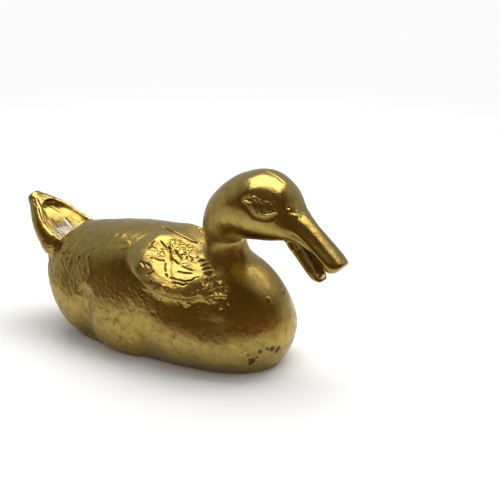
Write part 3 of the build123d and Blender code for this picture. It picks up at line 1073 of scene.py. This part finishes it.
# %% Build the shared surface group
SURFACE_SOCKETS = (
    ("Clean", "INPUT", "NodeSocketColor"),
    ("Dull", "INPUT", "NodeSocketColor"),
    ("Tarnish and shade", "INPUT", "NodeSocketFloat"),
    ("Colour", "OUTPUT", "NodeSocketColor"),
    ("Roughness", "OUTPUT", "NodeSocketFloat"),
    ("Height", "OUTPUT", "NodeSocketFloat"),
)
TARNISH_AND_SHADE_BROWN = (0.085, 0.047, 0.011)
DIRT_BROWN = (0.26, 0.175, 0.05)
SPECK_BROWN = (0.12, 0.08, 0.025)
STAIN_BROWN = (0.05, 0.035, 0.015)
PAINTED_REFLECTION_PALE = (0.36, 0.34, 0.29)
DIRT_MOST = 0.70
SPECK_STRENGTH = 0.6
STAIN_STRENGTH = 0.85
PAINTED_REFLECTION_STRENGTH = 0.8
DULL_RANGE = (0.38, 0.66)
DIRT_RANGE = (0.47, 0.70)
BROAD_NOISE = (70.0, 3.0, 0.5)
MOTTLE_NOISE = (420.0, 6.0, 0.65)
FINE_NOISE = (1900.0, 3.0, 0.5)
SPECK_SCALE = 260.0
SPECK_EDGE = (0.14, 0.06)
SPECK_RARITY = 0.78
MOULD_SKIN_HEIGHT = (0.030, 0.012)
MOULD_SKIN_RANGE = (0.38, 0.66)
MOULD_SKIN_ROUGH = (0.02, 0.20)
POLISHED_RANGE = (0.35, 0.7)
POLISHED_ROUGH = (0.15, 0.25)
RECESS_ROUGH = 0.15
WORN_ROUGH = 0.17
MOTTLE_HEIGHT = 0.6
FINE_HEIGHT = 0.25
SPECK_DEPTH = 0.5


def add_specks(tree, coords):
    """Dots in a few cells of a Voronoi pattern."""
    cells = add_node(tree, "ShaderNodeTexVoronoi")
    cells.inputs["Scale"].default_value = SPECK_SCALE
    tree.links.new(coords, cells.inputs["Vector"])
    dot = add_range(tree, cells.outputs["Distance"], *SPECK_EDGE)
    split = add_node(tree, "ShaderNodeSeparateColor")
    tree.links.new(cells.outputs["Color"], split.inputs["Color"])
    chosen = add_math(tree, "GREATER_THAN", split.outputs["Red"], SPECK_RARITY)
    return add_math(tree, "MULTIPLY", dot, chosen)


def surface_group():
    """Colour, roughness and height of aged polished brass, with painted shade and a painted reflection."""
    group = bpy.data.node_groups.new("aged_brass_surface", "ShaderNodeTree")
    for name, way, kind in SURFACE_SOCKETS:
        group.interface.new_socket(name=name, in_out=way, socket_type=kind)
    metal_in = add_node(group, "NodeGroupInput").outputs
    surface_out = add_node(group, "NodeGroupOutput").inputs
    coords = add_node(group, "ShaderNodeTexCoord").outputs["Object"]
    noted = {}
    for name in LAYERS:
        noted[name] = add_node(group, "ShaderNodeAttribute", attribute_name=name).outputs["Fac"]
    mottle = add_noise(group, coords, *MOTTLE_NOISE)
    speck = add_specks(group, coords)

    dull_share = add_range(group, add_noise(group, coords, *BROAD_NOISE), *DULL_RANGE)
    colour = add_colour_mix(group, dull_share, metal_in["Clean"], metal_in["Dull"])
    tints = (
        (add_range(group, mottle, *DIRT_RANGE, 0.0, DIRT_MOST), DIRT_BROWN),
        # brown tarnish in the hollows, and painted shade on the throat and the top of the bill
        (add_math(group, "MULTIPLY", noted["tarnish_and_shade"], metal_in["Tarnish and shade"]), TARNISH_AND_SHADE_BROWN),
        (add_math(group, "MULTIPLY", speck, SPECK_STRENGTH), SPECK_BROWN),
        (add_math(group, "MULTIPLY", noted["stain"], STAIN_STRENGTH), STAIN_BROWN),
        # a pale painted reflection at the root of the tail
        (add_math(group, "MULTIPLY", noted["painted_reflection"], PAINTED_REFLECTION_STRENGTH), PAINTED_REFLECTION_PALE),
    )
    for share, tint in tints:
        colour = add_colour_mix(group, share, colour, tint)
    group.links.new(colour, surface_out["Colour"])

    low_down = add_range(group, add_height(group, coords), *MOULD_SKIN_HEIGHT)
    mould_skin = add_range(group, mottle, *MOULD_SKIN_RANGE, *MOULD_SKIN_ROUGH)
    roughness = add_math(group, "MULTIPLY", mould_skin, low_down)
    for added in (
        add_range(group, mottle, *POLISHED_RANGE, *POLISHED_ROUGH),
        add_math(group, "MULTIPLY", noted["tarnish_and_shade"], RECESS_ROUGH),
        add_math(group, "MULTIPLY", noted["worn"], WORN_ROUGH),
    ):
        roughness = add_math(group, "ADD", roughness, added)
    group.links.new(roughness, surface_out["Roughness"])

    fine = add_math(group, "MULTIPLY", add_noise(group, coords, *FINE_NOISE), FINE_HEIGHT)
    relief = add_math(group, "ADD", add_math(group, "MULTIPLY", mottle, MOTTLE_HEIGHT), fine)
    relief = add_math(group, "SUBTRACT", relief, add_math(group, "MULTIPLY", speck, SPECK_DEPTH))
    group.links.new(relief, surface_out["Height"])
    return group


SURFACE = surface_group()
print("surface group has", len(SURFACE.nodes), "nodes")

# %% [markdown]
# The castings are the yellowest metal, the braze is a touch paler and the solder at the tail paler
# still. Each material is a full metal with the shared surface plugged in.

# %% Make the three metals
METALS = {
    "cast_brass": ((0.50, 0.345, 0.082), (0.40, 0.295, 0.088), 0.88),
    "braze_brass": ((0.50, 0.35, 0.095), (0.41, 0.305, 0.095), 0.88),
    "tail_solder": ((0.47, 0.345, 0.11), (0.39, 0.295, 0.105), 0.9),
}
RELIEF_STRENGTH = 0.60
RELIEF_DISTANCE = 0.0002


def metal(name, clean, dull, tarnish_and_shade_strength):
    material = bpy.data.materials.new(name)
    material.use_nodes = True
    tree = material.node_tree
    shader = tree.nodes["Principled BSDF"]
    shader.inputs["Metallic"].default_value = 1.0
    surface = add_node(tree, "ShaderNodeGroup", node_tree=SURFACE)
    surface.inputs["Clean"].default_value = (*clean, 1.0)
    surface.inputs["Dull"].default_value = (*dull, 1.0)
    # This strength sets the brown of the tarnish in hollows and of the painted shade alike.
    surface.inputs["Tarnish and shade"].default_value = tarnish_and_shade_strength
    relief = add_node(tree, "ShaderNodeBump")
    relief.inputs["Strength"].default_value = RELIEF_STRENGTH
    relief.inputs["Distance"].default_value = RELIEF_DISTANCE
    tree.links.new(surface.outputs["Colour"], shader.inputs["Base Color"])
    tree.links.new(surface.outputs["Roughness"], shader.inputs["Roughness"])
    tree.links.new(surface.outputs["Height"], relief.inputs["Height"])
    tree.links.new(relief.outputs["Normal"], shader.inputs["Normal"])
    return material


metals = {name: metal(name, *values) for name, values in METALS.items()}
print("metals:", ", ".join(metals))

# %% [markdown]
# ## Cut the skin into its pieces
# The sculpted skin is cut at the same planes as the castings: along the middle, across the neck and
# at the root of the tail. Each plane leaves a thin slab, which is the braze or solder. A boolean would
# do too, but a plane cut is exact and keeps the layers on the vertices.

# %% Plan the cuts
BRAZE = 0.4
MIDDLE = Vector((0.0, 0.0, 0.0))
RIGHTWARD = Vector((0.0, -1.0, 0.0))


def beyond(point, normal):
    """The cut that keeps what lies past a joint."""
    return point + normal * (BRAZE / 2), normal


def slab(point, normal):
    """The two cuts that keep the joint itself."""
    return (point - normal * (BRAZE / 2), normal), (point + normal * (BRAZE / 2), -normal)


neck_over = beyond(NECK_POINT, NECK_NORMAL)
neck_under = beyond(NECK_POINT, -NECK_NORMAL)
tail_over = beyond(TAIL_POINT, TAIL_NORMAL)
tail_under = beyond(TAIL_POINT, -TAIL_NORMAL)
right_of = beyond(MIDDLE, RIGHTWARD)
left_of = beyond(MIDDLE, -RIGHTWARD)
seam = slab(MIDDLE, RIGHTWARD)
PIECES = {
    "body_right": ("body_right_half", "cast_brass", (neck_under, tail_under, right_of)),
    "body_left": ("body_left_half", "cast_brass", (neck_under, tail_under, left_of)),
    "body_seam": ("body_seam_braze", "braze_brass", (neck_under, tail_under, *seam)),
    "head_right": ("head_right_half", "cast_brass", (neck_over, right_of)),
    "head_left": ("head_left_half", "cast_brass", (neck_over, left_of)),
    "head_seam": ("head_seam_braze", "braze_brass", (neck_over, *seam)),
    "neck_joint": ("neck_joint_braze", "braze_brass", slab(NECK_POINT, NECK_NORMAL)),
    "tail": ("tail_fan", "cast_brass", (tail_over,)),
    "tail_joint": ("tail_joint_solder", "tail_solder", slab(TAIL_POINT, TAIL_NORMAL)),
}
print("pieces planned:", len(PIECES))

# %% [markdown]
# Every cut is filled, so each piece is a closed body. The fill is flat and its edge is kept sharp, or
# the smooth shading of the skin would bend round it.

# %% Cut, fill and place each piece
CUT_TOLERANCE = 1e-5


def keep_side(bm, point, normal):
    """Keeps what lies on the side that the normal points to, and fills the cut."""
    geom = bm.verts[:] + bm.edges[:] + bm.faces[:]
    cut = bmesh.ops.bisect_plane(
        bm, geom=geom, dist=CUT_TOLERANCE, plane_co=point, plane_no=normal, clear_inner=True
    )
    edges = [e for e in cut["geom_cut"] if isinstance(e, bmesh.types.BMEdge)]
    filled = bmesh.ops.holes_fill(bm, edges=edges, sides=0)
    for face in filled["faces"]:
        face.smooth = False
    for edge in edges:
        edge.smooth = False


for face in skin.faces:
    face.smooth = True
for name, (node, slot, cut_planes) in PIECES.items():
    cut_piece = skin.copy()
    for point, normal in cut_planes:
        keep_side(cut_piece, point, normal)
    bmesh.ops.scale(cut_piece, vec=(MM, MM, MM), verts=cut_piece.verts)
    mesh = bpy.data.meshes.new(name)
    cut_piece.to_mesh(mesh)
    cut_piece.free()
    mesh.materials.append(metals[slot])
    piece = bpy.data.objects.new(name, mesh)
    bpy.context.scene.collection.objects.link(piece)
    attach(piece, "root")
    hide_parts(node)
    print(name, "has", sum(len(p.vertices) - 2 for p in mesh.polygons), "triangles")
skin.free()

# %% [markdown]
# ## The table, the light and the room
# The figure stands on white paper under one broad soft light. Polished metal shows the room around
# it, so the room matters as much as the lamp: pale behind, and dim brown on the side of the viewer,
# which gives the dark bands on the breast and the flank. The paper is plain near the figure, where its
# shadow falls, and glows white further off. Mirrored in the brass it is dimmed a little.

# %% Lay the paper
PAPER_REACH = 2.0
PAPER_FRONT = 0.22
PAPER_WHITE = (0.90, 0.90, 0.90, 1.0)
PAPER_ROUGH = 0.8
PAPER_LIT_FROM = 0.09
PAPER_LIT_FULLY = 0.26
PAPER_GLOW = 0.97
PAPER_MIRRORED = 0.85
PAPER_DIMMED = (0.12, 0.38)
PAPER_DIM_FROM = 0.055
PAPER_DIM_FULLY = 0.11
VIEW_AZIMUTH = math.radians(34)


def add_shader_mix(tree, share, first, second):
    node = add_node(tree, "ShaderNodeMixShader")
    for socket, value in zip(node.inputs, (share, first, second)):
        if value is not None:
            tree.links.new(value, socket)
    return node.outputs["Shader"]


def paper_material():
    material = bpy.data.materials.new("white_paper")
    material.use_nodes = True
    tree = material.node_tree
    shader = tree.nodes["Principled BSDF"]
    shader.inputs["Base Color"].default_value = PAPER_WHITE
    shader.inputs["Roughness"].default_value = PAPER_ROUGH
    shader.inputs["Specular IOR Level"].default_value = 0.0
    glow = add_node(tree, "ShaderNodeEmission")
    coords = add_node(tree, "ShaderNodeTexCoord").outputs["Object"]
    length = add_node(tree, "ShaderNodeVectorMath", operation="LENGTH")
    tree.links.new(coords, length.inputs[0])
    from_figure = length.outputs["Value"]
    ray = add_node(tree, "ShaderNodeLightPath").outputs
    strength = add_range(tree, ray["Is Camera Ray"], 0.0, 1.0, PAPER_MIRRORED, PAPER_GLOW)
    tree.links.new(strength, glow.inputs["Strength"])
    seen = add_math(tree, "MAXIMUM", ray["Is Camera Ray"], ray["Is Glossy Ray"])
    seen = add_math(tree, "MAXIMUM", seen, ray["Is Transmission Ray"])
    far = add_range(tree, from_figure, PAPER_LIT_FROM, PAPER_LIT_FULLY)
    lit_share = add_math(tree, "MULTIPLY", far, seen)
    lit = add_shader_mix(tree, lit_share, shader.outputs["BSDF"], glow.outputs["Emission"])
    dimming = add_range(tree, from_figure, PAPER_DIM_FROM, PAPER_DIM_FULLY, *PAPER_DIMMED)
    dim_share = add_math(tree, "MULTIPLY", ray["Is Glossy Ray"], dimming)
    dimmed = add_shader_mix(tree, dim_share, lit, None)
    tree.links.new(dimmed, tree.nodes["Material Output"].inputs["Surface"])
    return material


toward_viewer = Vector((math.sin(VIEW_AZIMUTH), -math.cos(VIEW_AZIMUTH), 0.0))
rightward = Vector((math.cos(VIEW_AZIMUTH), math.sin(VIEW_AZIMUTH), 0.0))
corners = (
    toward_viewer * PAPER_FRONT - rightward * PAPER_REACH,
    toward_viewer * PAPER_FRONT + rightward * PAPER_REACH,
    -toward_viewer * PAPER_REACH + rightward * PAPER_REACH,
    -toward_viewer * PAPER_REACH - rightward * PAPER_REACH,
)
sheet = bmesh.new()
sheet.faces.new([sheet.verts.new(corner) for corner in corners])
paper_mesh = bpy.data.meshes.new("paper")
sheet.to_mesh(paper_mesh)
sheet.free()
paper_mesh.materials.append(paper_material())
paper = bpy.data.objects.new("paper", paper_mesh)
bpy.context.scene.collection.objects.link(paper)
print("paper is", 2 * PAPER_REACH, "m wide")

# %% [markdown]
# The camera looks at the duck's right side from in front and above, with a long lens, which keeps the
# bill and the tail in proportion. Its place is measured from the middle of the figure. It aims a little
# to one side of that, so that the figure sits in the picture as it should.

# %% Set the camera
VIEW_ELEVATION = math.radians(22)
VIEW_DISTANCE = 0.750
VIEW_FROM = Vector((0.00387, 0.0, 0.020))
VIEW_AIM = Vector((0.01596, 0.01276, 0.02947))
LENS = 179.5
SENSOR_WIDTH = 36.0
back = Vector((
    math.sin(VIEW_AZIMUTH) * math.cos(VIEW_ELEVATION),
    -math.cos(VIEW_AZIMUTH) * math.cos(VIEW_ELEVATION),
    math.sin(VIEW_ELEVATION),
))
camera_data = bpy.data.cameras.new("camera")
camera_data.lens = LENS
camera_data.sensor_width = SENSOR_WIDTH
camera = bpy.data.objects.new("camera", camera_data)
bpy.context.scene.collection.objects.link(camera)
camera.location = VIEW_FROM + back * VIEW_DISTANCE
camera.rotation_mode = "QUATERNION"
camera.rotation_quaternion = (VIEW_AIM - camera.location).to_track_quat("-Z", "Y")
bpy.context.scene.camera = camera
print("camera stands at", [round(v, 3) for v in camera.location])

# %% [markdown]
# One rectangular lamp hangs over the figure, a little behind it. Its size matters more than its power,
# because the polished back mirrors its edges. Its long side runs across the picture.

# %% Hang the soft light
SOFTBOX_WAY = Vector((0.0, 0.35, 0.95)).normalized()
SOFTBOX_DISTANCE = 0.55
SOFTBOX_SIZE = (0.70, 0.40)
SOFTBOX_POWER = 3.4
SOFTBOX_WHITE = (1.0, 0.985, 0.95)
lamp_data = bpy.data.lights.new("softbox", "AREA")
lamp_data.shape = "RECTANGLE"
lamp_data.size, lamp_data.size_y = SOFTBOX_SIZE
lamp_data.energy = SOFTBOX_POWER
lamp_data.color = SOFTBOX_WHITE
lamp = bpy.data.objects.new("softbox", lamp_data)
bpy.context.scene.collection.objects.link(lamp)
lamp.location = SOFTBOX_WAY * SOFTBOX_DISTANCE
lamp.rotation_mode = "QUATERNION"
lamp_x = (rightward - SOFTBOX_WAY * rightward.dot(SOFTBOX_WAY)).normalized()
lamp_axes = Matrix((lamp_x, SOFTBOX_WAY.cross(lamp_x), SOFTBOX_WAY)).transposed()
lamp.rotation_quaternion = lamp_axes.to_quaternion()
print("softbox hangs at", [round(v, 2) for v in lamp.location])

# %% [markdown]
# The room is only seen as a reflection. The camera sees white behind the paper, matt surfaces get an
# even white fill, and only the brass sees the painted room: a picture of a real room would do the same,
# but three colours are enough here.

# %% Paint the room
ROOM_DIM = (0.128, 0.075, 0.022)
ROOM_WARM = (0.230, 0.095, 0.040)
ROOM_PALE = (0.46, 0.47, 0.48)
ROOM_WHITE = (1.0, 1.0, 1.0, 1.0)
ROOM_FILL = 0.52
ROOM_LOW = (0.25, 0.02)
ROOM_BEHIND = (0.02, 0.36)


def paint_room():
    world = bpy.data.worlds.new("room")
    bpy.context.scene.world = world
    world.use_nodes = True
    tree = world.node_tree
    tree.nodes.clear()
    out = add_node(tree, "ShaderNodeOutputWorld")
    coords = add_node(tree, "ShaderNodeTexCoord").outputs["Generated"]
    away = add_node(tree, "ShaderNodeVectorMath", operation="DOT_PRODUCT")
    away.inputs[1].default_value = -toward_viewer
    tree.links.new(coords, away.inputs[0])
    low_down = add_range(tree, add_height(tree, coords), *ROOM_LOW)
    behind = add_range(tree, away.outputs["Value"], *ROOM_BEHIND)
    colour = add_colour_mix(tree, low_down, ROOM_DIM, ROOM_WARM)
    colour = add_colour_mix(tree, behind, colour, ROOM_PALE)
    room = add_node(tree, "ShaderNodeBackground")
    tree.links.new(colour, room.inputs["Color"])
    white = add_node(tree, "ShaderNodeBackground")
    white.inputs["Color"].default_value = ROOM_WHITE
    ray = add_node(tree, "ShaderNodeLightPath").outputs
    strength = add_range(tree, ray["Is Camera Ray"], 0.0, 1.0, ROOM_FILL, 1.0)
    tree.links.new(strength, white.inputs["Strength"])
    around = add_shader_mix(
        tree, ray["Is Glossy Ray"], white.outputs["Background"], room.outputs["Background"]
    )
    tree.links.new(around, out.inputs["Surface"])
    return tree


room_tree = paint_room()
bpy.context.scene.view_settings.view_transform = "Standard"
print("room painted with", len(room_tree.nodes), "nodes")
